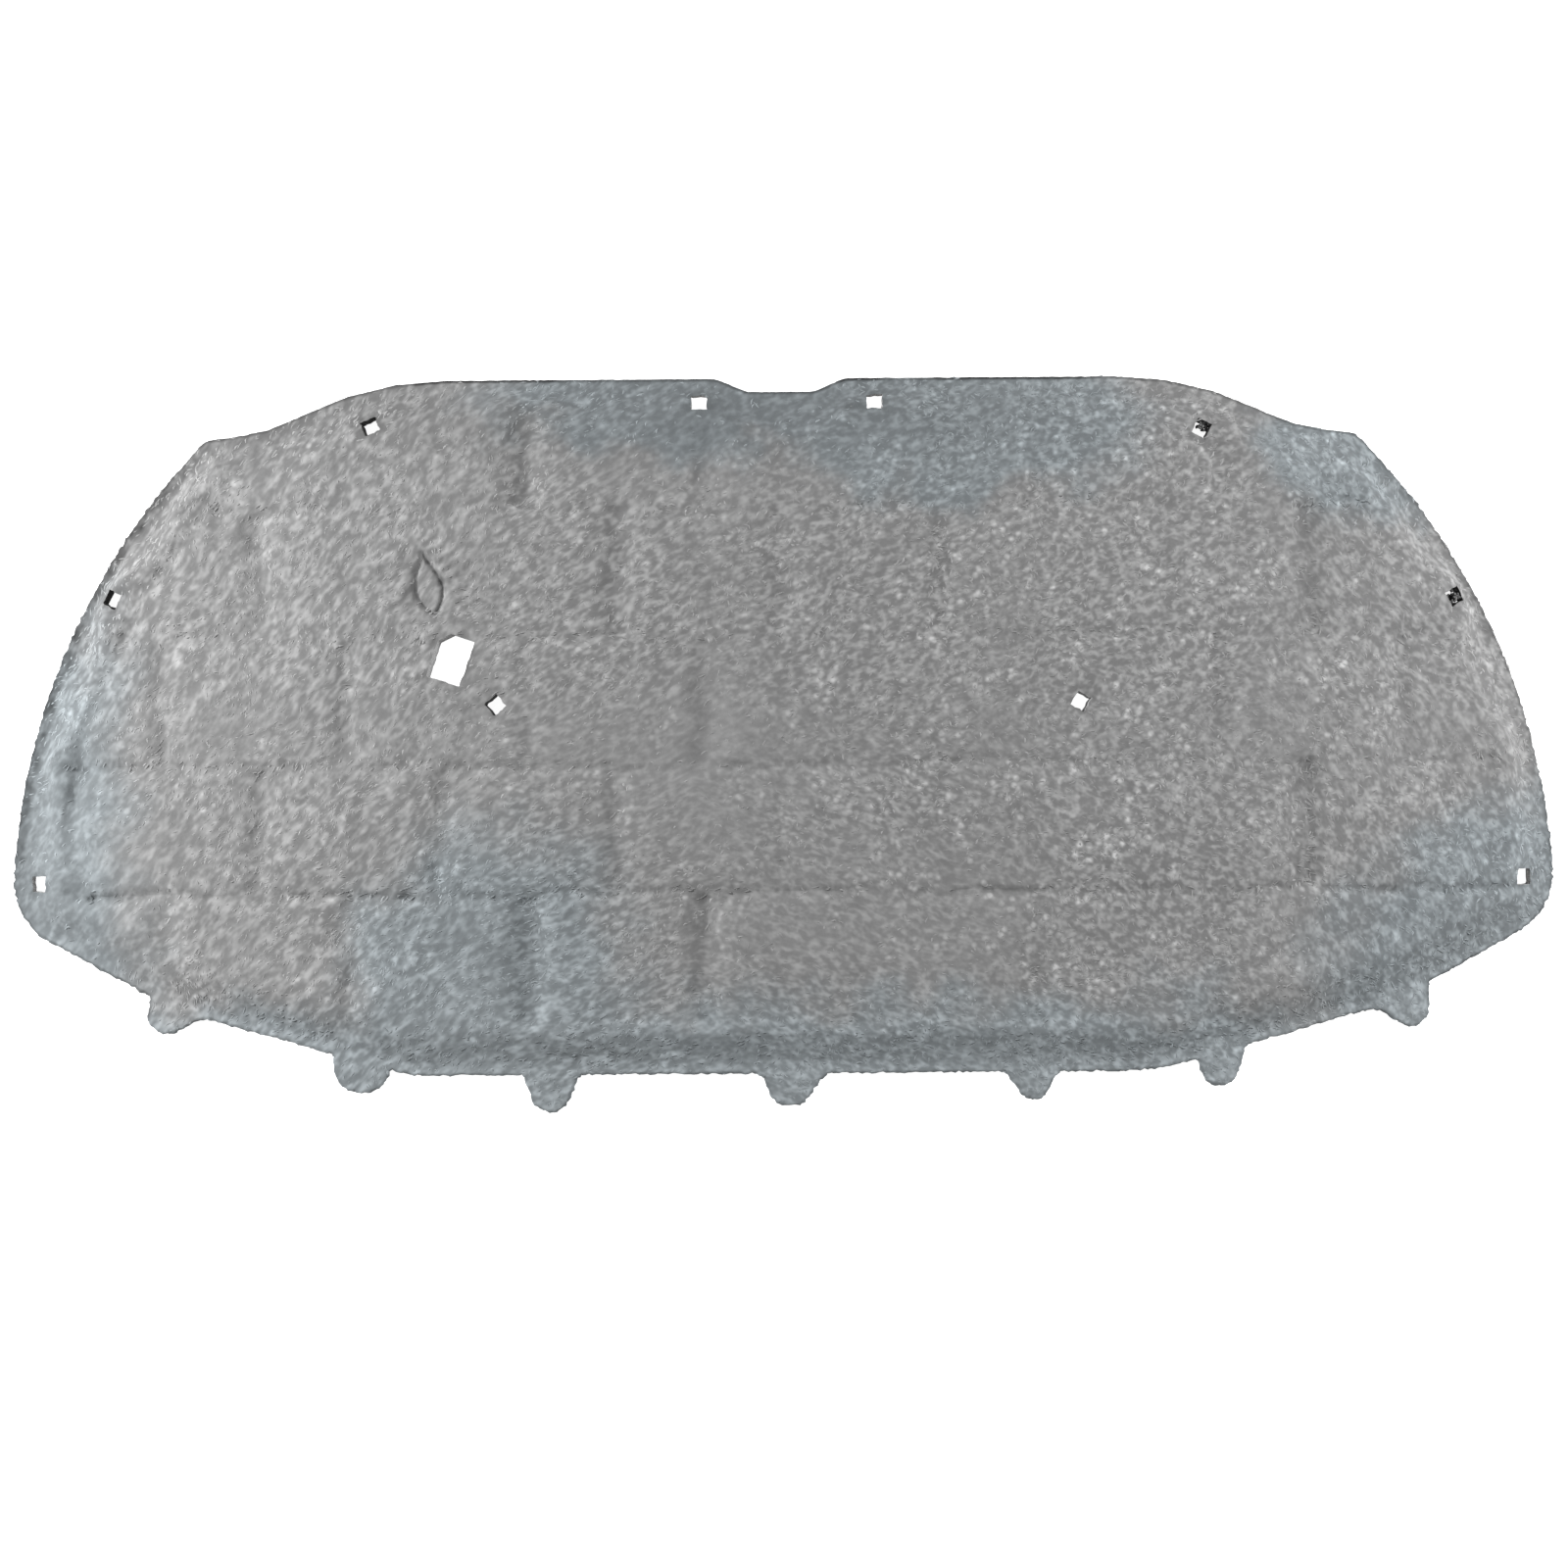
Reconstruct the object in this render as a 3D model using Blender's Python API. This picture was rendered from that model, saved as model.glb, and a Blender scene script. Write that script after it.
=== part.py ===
"""Hood insulation pad of a car, lying flat with the face that looks at the engine up.

The pad is one mat of fibre felt, pressed hot in a mould and cut to its outline.  Its rim is
pinched thin, the edge rolls up to the thick body, and the face carries pressed joints laid
out like brickwork.  Seven thin tongues stand out along the lower edge, and ten square clip
holes and one window go right through.  A leaf-shaped mark is pressed beside the window.

Lengths are in metres.  On the pad, x is measured from the centre line and y from the top
edge, with y negative towards the tongues.
"""

import math
from collections import namedtuple

import bmesh
import bpy
from mathutils import Matrix, Vector

# Overall size: the depth is from the top edge to the lower edge, without the tongues
PAD_WIDTH = 1.250
PAD_DEPTH = 0.5645
BODY_THICKNESS = 0.014

# Pinched rim and the edge that rolls up from it
RIM_WIDTH = 0.005
RIM_THICKNESS = 0.0035
RIM_BREAK = 0.001
ROLL_WIDTH = 0.011
ROLL_STEPS = 4

# Notch in the middle of the top edge
NOTCH_DEPTH = 0.0108
NOTCH_FLOOR_HALF = 0.027
NOTCH_MOUTH_HALF = 0.0525
NOTCH_ROUND = 0.016

# Top edge and the shoulder where it falls to the side
TOP_HALF = 0.334
TOP_ROUND = 0.265
DIP_HALF = 0.4155
DIP_DROP = 0.041
DIP_ROUND = 0.145
SHOULDER_HALF = 0.467
SHOULDER_DROP = 0.0474
SHOULDER_ROUND = 0.010

# Bowed side, the heel below it and the slope down to the lower edge
SIDE_BOW = 0.0345
SIDE_STEPS = 16
SIDE_END_RISE = 0.167
HEEL_RISE = 0.1265
HEEL_ROUND = 0.054
FLANK_HALF = 0.494
FLANK_RISE = 0.0542
FLANK_ROUND = 0.050
FLOOR_HALF = 0.304
FLOOR_ROUND = 0.250

# Smallest round that a corner keeps where it is drawn further in, and the turn of one facet
LEAST_ROUND = 0.002
FACET_TURN = math.radians(11)

# Tongues along the lower edge, left to right: where each root starts and ends, the two
# corners of its tip, its length below the edge, and the rounds of those four corners
Tongue = namedtuple("Tongue", "root_left root_right tip_left tip_right length "
                              "left_fillet right_fillet left_round right_round")
TONGUES = (
    Tongue(-0.5140, -0.4720, -0.5225, -0.4975, 0.0275, 0.003, 0.014, 0.017, 0.017),
    Tongue(-0.3665, -0.3200, -0.3660, -0.3310, 0.0265, 0.004, 0.005, 0.021, 0.015),
    Tongue(-0.2120, -0.1670, -0.2030, -0.1790, 0.0300, 0.003, 0.006, 0.016, 0.016),
    Tongue(-0.0190, 0.0340, -0.0080, 0.0140, 0.0260, 0.005, 0.012, 0.013, 0.009),
    Tongue(0.1790, 0.2220, 0.1960, 0.2100, 0.0225, 0.003, 0.006, 0.010, 0.009),
    Tongue(0.3360, 0.3750, 0.3420, 0.3650, 0.0262, 0.003, 0.010, 0.012, 0.014),
    Tongue(0.4800, 0.5240, 0.5050, 0.5230, 0.0305, 0.022, 0.003, 0.011, 0.014),
)

# Square holes for the push clips; each tilt turns the square anticlockwise
CLIP_HOLE = 0.0126
TOP_HOLE_X = (-0.0657, 0.0761)
TOP_HOLE_MARGIN = 0.0207
SHOULDER_HOLE_X = (-0.3306, 0.3397)
SHOULDER_HOLE_MARGIN = (0.0315, 0.0352)
SHOULDER_HOLE_TILT = math.radians(25)
UPPER_HOLE_Y = (-0.1768, -0.1819)
UPPER_HOLE_MARGIN = (0.0222, 0.0226)
UPPER_HOLE_TILT = math.radians(28)
LOWER_HOLE_Y = (-0.4065, -0.4084)
LOWER_HOLE_MARGIN = (0.0229, 0.0270)
INNER_HOLE_X = (-0.2310, 0.2408)
INNER_HOLE_Y = -0.2643
INNER_HOLE_TILT = (math.radians(42), math.radians(-30))

# Window, leaning to the left at its foot, with one corner cut off
WINDOW_X = -0.2669
WINDOW_Y = -0.2269
WINDOW_WIDTH = 0.0285
WINDOW_HEIGHT = 0.0385
WINDOW_TILT = math.radians(-19)
WINDOW_CHAMFER = 0.009

# Leaf-shaped mark: a groove round a pointed oval
LEAF_X = -0.2838
LEAF_Y = -0.1675
LEAF_LENGTH = 0.050
LEAF_WIDTH = 0.021
LEAF_TILT = math.radians(11)
LEAF_GROOVE_WIDTH = 0.003
LEAF_GROOVE_DEPTH = 0.0028
LEAF_STEPS = 8

# Brickwork: the rows start just below the top edge, and every other row is shifted
BRICK_LENGTH = 0.1459
BRICK_HEIGHT = 0.1036
WALL_TOP_Y = -0.0036
FULL_ROW_FIRST = 0.0598
SPLIT_ROW_FIRST = 0.1296
ROW_COUNT = 5
JOINT_WIDTH = 0.013
JOINT_FLOOR = 0.004
BED_DEPTH = 0.0026
UPRIGHT_DEPTH = 0.0022
SIDE_BORDER = 0.050
TOP_BORDER = 0.025
LEAST_JOINT = 0.025

# Crease that closes the brickwork along the bowed sides
CREASE_TOP_Y = -0.114
CREASE_DEPTH = 0.0018

# How far a cutter stands out of the faces that it cuts
CUT_OVER = 0.004

FELT_COLOUR = (0.291, 0.296, 0.300, 1.0)
FELT_ROUGHNESS = 0.95

Corner = namedtuple("Corner", "x y round")


def clear_scene():
    """Remove every object that the scene starts with."""
    for item in list(bpy.data.objects):
        bpy.data.objects.remove(item, do_unlink=True)


def bowed_points(start, end, bow, steps):
    """Points between start and end on a circular arc that bows out by bow, ends left out."""
    chord = end - start
    radius = (chord.length ** 2 / 4 + bow ** 2) / (2 * bow)
    half_angle = math.asin(chord.length / 2 / radius)
    outward = Vector((-chord.y, chord.x)).normalized()
    centre = (start + end) / 2 + outward * (bow - radius)
    along = chord.normalized()
    points = []
    for step in range(1, steps):
        angle = half_angle * (2 * step / steps - 1)
        points.append(centre + radius * (along * math.sin(angle) + outward * math.cos(angle)))
    return points


def half_corners():
    """Corners of the right half, clockwise from the notch to the lower edge."""
    half = PAD_WIDTH / 2
    low = -PAD_DEPTH
    side_top = Vector((SHOULDER_HALF, -SHOULDER_DROP))
    side_end = Vector((half, low + SIDE_END_RISE))
    corners = [
        Corner(NOTCH_FLOOR_HALF, -NOTCH_DEPTH, NOTCH_ROUND),
        Corner(NOTCH_MOUTH_HALF, 0.0, NOTCH_ROUND),
        Corner(TOP_HALF, 0.0, TOP_ROUND),
        Corner(DIP_HALF, -DIP_DROP, DIP_ROUND),
        Corner(SHOULDER_HALF, -SHOULDER_DROP, SHOULDER_ROUND),
    ]
    for point in bowed_points(side_top, side_end, SIDE_BOW, SIDE_STEPS):
        corners.append(Corner(point.x, point.y, 0.0))
    corners.append(Corner(half, low + SIDE_END_RISE, 0.0))
    corners.append(Corner(half, low + HEEL_RISE, HEEL_ROUND))
    corners.append(Corner(FLANK_HALF, low + FLANK_RISE, FLANK_ROUND))
    corners.append(Corner(FLOOR_HALF, low, FLOOR_ROUND))
    return corners


def body_corners():
    """Corners of the whole pad without its tongues, clockwise."""
    right = half_corners()
    left = [Corner(-corner.x, corner.y, corner.round) for corner in reversed(right)]
    return right + left


def edge_height(corners, x):
    """Height of the lower edge at x."""
    ends = corners[1:] + corners[:1]
    for start, end in zip(corners, ends):
        if end.x < start.x and end.x <= x <= start.x:
            share = (start.x - x) / (start.x - end.x)
            return start.y + share * (end.y - start.y)
    return -PAD_DEPTH


def tongue_corners(corners, tongue):
    """Corners of one tongue, clockwise: right root, right tip, left tip, left root."""
    middle = (tongue.tip_left + tongue.tip_right) / 2
    tip = edge_height(corners, middle) - tongue.length
    right_root = edge_height(corners, tongue.root_right)
    left_root = edge_height(corners, tongue.root_left)
    return [
        Corner(tongue.root_right, right_root, tongue.right_fillet),
        Corner(tongue.tip_right, tip, tongue.right_round),
        Corner(tongue.tip_left, tip, tongue.left_round),
        Corner(tongue.root_left, left_root, tongue.left_fillet),
    ]


def rim_corners():
    """Corners of the pad with its tongues, clockwise."""
    body = body_corners()
    half = len(body) // 2
    middle = body[half - 2:half + 2]
    lower = []
    for corner in middle:
        covered = any(t.root_left < corner.x < t.root_right for t in TONGUES)
        if not covered:
            lower.append([corner])
    for tongue in TONGUES:
        lower.append(tongue_corners(body, tongue))
    lower.sort(key=lambda group: -group[0].x)
    flat = [corner for group in lower for corner in group]
    return body[:half - 2] + flat + body[half + 2:]


def signed_turn(before, after):
    """Angle from one direction to the next, positive where a clockwise path turns outwards."""
    return math.atan2(before.x * after.y - before.y * after.x, before.dot(after))


def rounded_outline(corners, inset=0.0):
    """Points of the outline drawn in by inset, with every corner rounded.

    A corner that points out loses the inset from its round and one that points in gains it,
    so each outline of a set has the same number of points, one above the other.
    """
    points = [Vector((corner.x, corner.y)) for corner in corners]
    count = len(points)
    along = [(points[(i + 1) % count] - points[i]).normalized() for i in range(count)]
    turns = [signed_turn(along[i - 1], along[i]) for i in range(count)]
    drawn = []
    for i in range(count):
        into = Vector((along[i - 1].y, -along[i - 1].x)) + Vector((along[i].y, -along[i].x))
        drawn.append(points[i] + into * (inset / (1 + along[i - 1].dot(along[i]))))

    reaches = []
    for corner, turn in zip(corners, turns):
        grown = corner.round + math.copysign(inset, turn)
        radius = max(grown, LEAST_ROUND) if corner.round else 0.0
        reaches.append(radius * math.tan(abs(turn) / 2))
    lengths = [(drawn[(i + 1) % count] - drawn[i]).length for i in range(count)]
    limits = []
    for i in range(count):
        taken = reaches[i] + reaches[(i + 1) % count]
        limits.append(min(1.0, 0.98 * lengths[i] / taken) if taken else 1.0)

    outline = []
    for i, corner in enumerate(corners):
        if not corner.round:
            outline.append(drawn[i])
            continue
        reach = reaches[i] * min(limits[i - 1], limits[i])
        radius = reach / math.tan(abs(turns[i]) / 2)
        side = math.copysign(1.0, turns[i])
        first = drawn[i] - along[i - 1] * reach
        to_centre = Vector((-along[i - 1].y, along[i - 1].x)) * side
        centre = first + to_centre * radius
        steps = max(2, math.ceil(abs(turns[i]) / FACET_TURN))
        for step in range(steps + 1):
            spin = Matrix.Rotation(turns[i] * step / steps, 2)
            outline.append(centre + spin @ (first - centre))
    return outline


def crossings(outline, axis, value):
    """Least and greatest place along the other axis where the outline crosses a line."""
    other = 1 - axis
    found = []
    for start, end in zip(outline, outline[1:] + outline[:1]):
        low, high = sorted((start[axis], end[axis]))
        if low <= value < high:
            share = (value - start[axis]) / (end[axis] - start[axis])
            found.append(start[other] + share * (end[other] - start[other]))
    return (min(found), max(found)) if found else (0.0, 0.0)


def add_loop(bm, points, z):
    """A closed ring of edges at height z."""
    verts = [bm.verts.new((point.x, point.y, z)) for point in points]
    edges = [bm.edges.new(pair) for pair in zip(verts, verts[1:] + verts[:1])]
    return verts, edges


def add_loft(bm, levels):
    """A closed solid through rings of points, each given with its height, bottom first."""
    rings = [add_loop(bm, points, z) for points, z in levels]
    for (_, lower), (_, upper) in zip(rings, rings[1:]):
        bmesh.ops.bridge_loops(bm, edges=lower + upper)
    bm.faces.new(rings[0][0])
    bm.faces.new(rings[-1][0])


def finish_object(name, bm):
    """Put the mesh into the scene with its faces pointing out."""
    bmesh.ops.recalc_face_normals(bm, faces=bm.faces)
    mesh = bpy.data.meshes.new(name)
    bm.to_mesh(mesh)
    bm.free()
    mesh.shade_smooth()
    mesh.set_sharp_from_angle(angle=math.radians(32))
    item = bpy.data.objects.new(name, mesh)
    bpy.context.scene.collection.objects.link(item)
    return item


def make_guide(name, bm):
    """A solid that only shapes the pad and isn't a piece itself."""
    item = finish_object(name, bm)
    item.hide_render = True
    item.display_type = "WIRE"
    return item


def rim_slab():
    """The thin slab of the pinched rim and the tongues, with its upper corner broken."""
    corners = rim_corners()
    bm = bmesh.new()
    outer = rounded_outline(corners)
    add_loft(bm, [
        (outer, 0.0),
        (outer, RIM_THICKNESS - RIM_BREAK),
        (rounded_outline(corners, RIM_BREAK), RIM_THICKNESS),
    ])
    return finish_object("insulation_pad", bm)


def body_form():
    """The thick body, which starts inside the rim slab and rolls over to the flat face."""
    corners = body_corners()
    levels = [(rounded_outline(corners, RIM_WIDTH), RIM_THICKNESS / 2)]
    for step in range(ROLL_STEPS + 1):
        angle = math.pi / 2 * step / ROLL_STEPS
        inset = RIM_WIDTH + ROLL_WIDTH * (1 - math.cos(angle))
        rise = (BODY_THICKNESS - RIM_THICKNESS) * math.sin(angle)
        levels.append((rounded_outline(corners, inset), RIM_THICKNESS + rise))
    bm = bmesh.new()
    add_loft(bm, levels)
    return make_guide("body_form", bm)


def add_groove(bm, path, depth):
    """A cutter for a groove along a path: narrow at its floor and wide at the pad's face."""
    spread = (JOINT_WIDTH - JOINT_FLOOR) / 2 / depth
    floor_half = JOINT_FLOOR / 2
    top_half = floor_half + spread * (depth + CUT_OVER)
    floor_z = BODY_THICKNESS - depth
    top_z = BODY_THICKNESS + CUT_OVER
    rings = []
    for index, point in enumerate(path):
        ahead = path[min(index + 1, len(path) - 1)]
        behind = path[max(index - 1, 0)]
        along = (ahead - behind).normalized()
        across = Vector((-along.y, along.x))
        ring = []
        for half, z in ((-floor_half, floor_z), (floor_half, floor_z),
                        (top_half, top_z), (-top_half, top_z)):
            place = point + across * half
            ring.append(bm.verts.new((place.x, place.y, z)))
        rings.append(ring)
    ring_edges = []
    for ring in rings:
        ring_edges.append([bm.edges.new(pair) for pair in zip(ring, ring[1:] + ring[:1])])
    for near, far in zip(ring_edges, ring_edges[1:]):
        bmesh.ops.bridge_loops(bm, edges=near + far)
    bm.faces.new(rings[0])
    bm.faces.new(rings[-1])


def bed_joints():
    """The long joints between the rows of bricks."""
    border = rounded_outline(body_corners(), SIDE_BORDER)
    bm = bmesh.new()
    for row in range(1, ROW_COUNT + 1):
        y = WALL_TOP_Y - BRICK_HEIGHT * row
        left, right = crossings(border, 1, y)
        if right - left > LEAST_JOINT:
            add_groove(bm, [Vector((left, y)), Vector((right, y))], BED_DEPTH)
    return make_guide("bed_joints", bm)


def upright_places(row):
    """Where the joints between the bricks of a row lie, left to right."""
    first = SPLIT_ROW_FIRST if row % 2 else FULL_ROW_FIRST
    places = [] if row % 2 == 0 else [0.0]
    x = first
    while x < PAD_WIDTH / 2:
        places += [x, -x]
        x += BRICK_LENGTH
    return sorted(places)


def upright_joints():
    """The short joints between the bricks of each row.

    The one that would run through the leaf mark is left out, as the mark takes its place.
    """
    corners = body_corners()
    sides = rounded_outline(corners, SIDE_BORDER)
    ends = rounded_outline(corners, TOP_BORDER)
    bm = bmesh.new()
    for row in range(ROW_COUNT):
        row_top = WALL_TOP_Y - BRICK_HEIGHT * row
        row_foot = row_top - BRICK_HEIGHT
        for x in upright_places(row):
            if abs(x - LEAF_X) < LEAF_WIDTH and row_foot < LEAF_Y < row_top:
                continue
            middle = max((row_top + row_foot) / 2, -PAD_DEPTH + TOP_BORDER)
            left, right = crossings(sides, 1, middle)
            foot, top = crossings(ends, 0, x)
            top = min(top, row_top)
            foot = max(foot, row_foot)
            if left - JOINT_WIDTH < x < right + JOINT_WIDTH and top - foot > LEAST_JOINT:
                add_groove(bm, [Vector((x, foot)), Vector((x, top))], UPRIGHT_DEPTH)
    return make_guide("upright_joints", bm)


def side_creases():
    """The two creases beside the bowed sides, down to the first row that reaches them."""
    border = rounded_outline(body_corners(), SIDE_BORDER)
    foot = WALL_TOP_Y - BRICK_HEIGHT * 3
    path = [point for point in border if point.x > 0 and foot < point.y < CREASE_TOP_Y]
    bm = bmesh.new()
    add_groove(bm, path, CREASE_DEPTH)
    add_groove(bm, [Vector((-point.x, point.y)) for point in path], CREASE_DEPTH)
    return make_guide("side_creases", bm)


def leaf_outline(length, width):
    """A pointed oval between two arcs, anticlockwise from its upper tip."""
    tip = Vector((0.0, length / 2))
    foot = -tip
    right = bowed_points(tip, foot, width / 2, LEAF_STEPS)
    left = bowed_points(foot, tip, width / 2, LEAF_STEPS)
    turn = Matrix.Rotation(LEAF_TILT, 2)
    place = Vector((LEAF_X, LEAF_Y))
    return [place + turn @ point for point in [tip] + right + [foot] + left]


def leaf_mark():
    """The groove round the leaf: a ring between a larger and a smaller pointed oval."""
    outer = leaf_outline(LEAF_LENGTH, LEAF_WIDTH)
    slim = LEAF_GROOVE_WIDTH * LEAF_LENGTH / LEAF_WIDTH
    inner = leaf_outline(LEAF_LENGTH - 2 * slim, LEAF_WIDTH - 2 * LEAF_GROOVE_WIDTH)
    floor_z = BODY_THICKNESS - LEAF_GROOVE_DEPTH
    top_z = BODY_THICKNESS + CUT_OVER
    bm = bmesh.new()
    rings = [add_loop(bm, outer, floor_z), add_loop(bm, outer, top_z),
             add_loop(bm, inner, top_z), add_loop(bm, inner, floor_z)]
    for (_, near), (_, far) in zip(rings, rings[1:] + rings[:1]):
        bmesh.ops.bridge_loops(bm, edges=near + far)
    return make_guide("leaf_mark", bm)


def add_prism(bm, points):
    """A cutter that goes right through the pad."""
    add_loft(bm, [(points, -CUT_OVER), (points, BODY_THICKNESS + CUT_OVER)])


def square_points(place, side, tilt):
    """Corners of a tilted square."""
    half = side / 2
    turn = Matrix.Rotation(tilt, 2)
    signs = ((-1, -1), (1, -1), (1, 1), (-1, 1))
    return [place + turn @ Vector((sx * half, sy * half)) for sx, sy in signs]


def clip_hole_places():
    """Centre and tilt of each clip hole, set from the edge that it lies along."""
    edge = rounded_outline(body_corners())
    holes = []
    for x in TOP_HOLE_X:
        holes.append((Vector((x, -TOP_HOLE_MARGIN)), 0.0))
    for x, margin, side in zip(SHOULDER_HOLE_X, SHOULDER_HOLE_MARGIN, (1, -1)):
        top = crossings(edge, 0, x)[1]
        holes.append((Vector((x, top - margin)), side * SHOULDER_HOLE_TILT))
    for heights, margins, tilt in ((UPPER_HOLE_Y, UPPER_HOLE_MARGIN, UPPER_HOLE_TILT),
                                   (LOWER_HOLE_Y, LOWER_HOLE_MARGIN, 0.0)):
        left = crossings(edge, 1, heights[0])[0]
        right = crossings(edge, 1, heights[1])[1]
        holes.append((Vector((left + margins[0], heights[0])), -tilt))
        holes.append((Vector((right - margins[1], heights[1])), tilt))
    for x, tilt in zip(INNER_HOLE_X, INNER_HOLE_TILT):
        holes.append((Vector((x, INNER_HOLE_Y)), tilt))
    return holes


def window_points():
    """Corners of the window, with its upper left corner cut off."""
    wide = WINDOW_WIDTH / 2
    high = WINDOW_HEIGHT / 2
    cut = WINDOW_CHAMFER
    turn = Matrix.Rotation(WINDOW_TILT, 2)
    place = Vector((WINDOW_X, WINDOW_Y))
    corners = ((-wide, -high), (wide, -high), (wide, high), (cut - wide, high),
               (-wide, high - cut))
    return [place + turn @ Vector(corner) for corner in corners]


def through_cuts():
    """The clip holes and the window."""
    bm = bmesh.new()
    for place, tilt in clip_hole_places():
        add_prism(bm, square_points(place, CLIP_HOLE, tilt))
    add_prism(bm, window_points())
    return make_guide("through_cuts", bm)


def felt_material():
    """Grey fibre felt, dull all over."""
    material = bpy.data.materials.new("grey_fibre_felt")
    material.use_nodes = True
    shader = material.node_tree.nodes["Principled BSDF"]
    shader.inputs["Base Color"].default_value = FELT_COLOUR
    shader.inputs["Roughness"].default_value = FELT_ROUGHNESS
    shader.inputs["Metallic"].default_value = 0.0
    return material


def apply_guide(pad, guide, operation):
    """Join a guide to the pad or cut it out of it."""
    step = pad.modifiers.new(guide.name, "BOOLEAN")
    step.operation = operation
    step.solver = "EXACT"
    step.object = guide


def build_pad():
    """The finished pad, centred over the floor."""
    pad = rim_slab()
    apply_guide(pad, body_form(), "UNION")
    for guide in (bed_joints(), upright_joints(), side_creases(), leaf_mark(), through_cuts()):
        apply_guide(pad, guide, "DIFFERENCE")
    pad.data.materials.append(felt_material())
    heights = [point.y for point in rounded_outline(rim_corners())]
    centre_y = (min(heights) + max(heights)) / 2
    for item in bpy.context.scene.objects:
        item.location = (0.0, -centre_y, 0.0)
    return pad


clear_scene()
build_pad()
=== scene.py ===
# %% [markdown]
# # Hood insulation pad
# This pad hangs under a car's hood and soaks up engine noise. It is a mat of needled fibre felt, pressed
# hot between two moulds. The press pinches the rim thin and draws brickwork joints into the face. Loose
# fibres that lie across the light shine in long sweeps, and their shine is painted as sheen. The plain
# solid of the pad is loaded first.
# Everything after that is its finish.

# %% Load the imported pad
import math
import random

import bmesh
import bpy
import numpy as np
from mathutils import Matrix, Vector, noise
from mathutils.bvhtree import BVHTree


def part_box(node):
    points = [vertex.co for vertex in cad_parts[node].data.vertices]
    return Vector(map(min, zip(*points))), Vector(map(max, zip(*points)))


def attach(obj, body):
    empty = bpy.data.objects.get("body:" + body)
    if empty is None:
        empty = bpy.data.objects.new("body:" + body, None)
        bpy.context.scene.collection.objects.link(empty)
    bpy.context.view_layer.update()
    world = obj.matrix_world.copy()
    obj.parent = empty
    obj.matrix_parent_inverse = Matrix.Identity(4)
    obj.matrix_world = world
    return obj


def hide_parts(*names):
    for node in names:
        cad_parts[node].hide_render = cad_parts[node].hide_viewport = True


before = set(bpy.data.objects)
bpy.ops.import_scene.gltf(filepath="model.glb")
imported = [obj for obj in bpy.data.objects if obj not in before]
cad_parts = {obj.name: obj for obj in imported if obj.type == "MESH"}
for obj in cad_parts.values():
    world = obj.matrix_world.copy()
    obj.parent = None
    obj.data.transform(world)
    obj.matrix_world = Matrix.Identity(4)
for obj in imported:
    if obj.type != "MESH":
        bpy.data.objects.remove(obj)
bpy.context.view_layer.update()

MM = 0.001
NOISE_SEED = 7
SAME_SPOT = 1e-6

noise.seed_set(NOISE_SEED)
pad_low, pad_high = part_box("insulation_pad")
print("pad", [round(size / MM, 1) for size in pad_high - pad_low], "mm")

# %% [markdown]
# ## Colours and nodes
# Colours are given as a screen shows them, so they are written as sRGB hex values, and one function turns
# them into the linear values that shaders work with. A second one adds a node, with its settings and with
# what feeds it. Two more make an empty material and an object.


# %% Helpers for colours, nodes and objects
def linear(hex_colour):
    """An sRGB hex colour as linear red, green, blue and alpha."""
    channels = [int(hex_colour[start:start + 2], 16) / 255 for start in (1, 3, 5)]
    bent = [c / 12.92 if c <= 0.04045 else ((c + 0.055) / 1.055) ** 2.4 for c in channels]
    return (*bent, 1.0)


def add_node(tree, kind, settings=None, inputs=None):
    """Add a node. An input is either a value or the socket that feeds it."""
    node = tree.nodes.new(kind)
    for name, value in (settings or {}).items():
        setattr(node, name, value)
    for name, value in (inputs or {}).items():
        if isinstance(value, bpy.types.NodeSocket):
            tree.links.new(value, node.inputs[name])
        else:
            node.inputs[name].default_value = value
    return node


def bare_material(name):
    """A new material and its empty node tree."""
    material = bpy.data.materials.new(name)
    material.use_nodes = True
    material.node_tree.nodes.clear()
    return material, material.node_tree


def add_object(name, data):
    """A new object in the scene, at the origin."""
    item = bpy.data.objects.new(name, data)
    bpy.context.scene.collection.objects.link(item)
    return item


# %% [markdown]
# A pattern is built from values that are multiplied, mixed, compared or carried from one span to another.
# Each of these steps is a small function. The last one tells what the camera sees directly from what only
# lights the pad.


# %% Helpers for patterns
def product(tree, factors):
    """Several values multiplied together."""
    result = factors[0]
    for factor in factors[1:]:
        step = add_node(tree, "ShaderNodeMath", {"operation": "MULTIPLY"}, {0: result, 1: factor})
        result = step.outputs[0]
    return result


def most_of(tree, values):
    """The greatest of several values."""
    most = values[0]
    for value in values[1:]:
        step = add_node(tree, "ShaderNodeMath", {"operation": "MAXIMUM"}, {0: most, 1: value})
        most = step.outputs[0]
    return most


def blend(tree, share, first, second):
    """A mix of two values."""
    mixed = add_node(tree, "ShaderNodeMix", {"data_type": "FLOAT"}, {"Factor": share, 2: first, 3: second})
    return mixed.outputs[0]


def between(tree, value, low, high, to_low, to_high, curve="LINEAR"):
    """A value carried from one span to another."""
    span = add_node(tree, "ShaderNodeMapRange", {"interpolation_type": curve}, {
        "Value": value, "From Min": low, "From Max": high, "To Min": to_low, "To Max": to_high})
    return span.outputs["Result"]


def seen_directly(tree):
    """1 for rays from the camera, off a mirror or through glass, and 0 for all others."""
    path = add_node(tree, "ShaderNodeLightPath")
    rays = ("Is Camera Ray", "Is Glossy Ray", "Is Transmission Ray")
    return most_of(tree, [path.outputs[ray] for ray in rays])


# %% [markdown]
# ## Camera
# The pad lies flat and is seen from straight above. The walls inside the outer clip holes show, so the
# camera is close enough for perspective: 1.1 m above the rim. The picture is turned a little, as a
# hand-laid pad is.

# %% Camera above the pad
CAMERA_HEIGHT = 1.1
RIM_TOP = 3.5 * MM
VIEW_WIDTH = 1.2747
VIEW_CENTRE_X = 0.001
VIEW_CENTRE_Y = -0.0322
VIEW_TURN = math.radians(-0.4)

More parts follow.
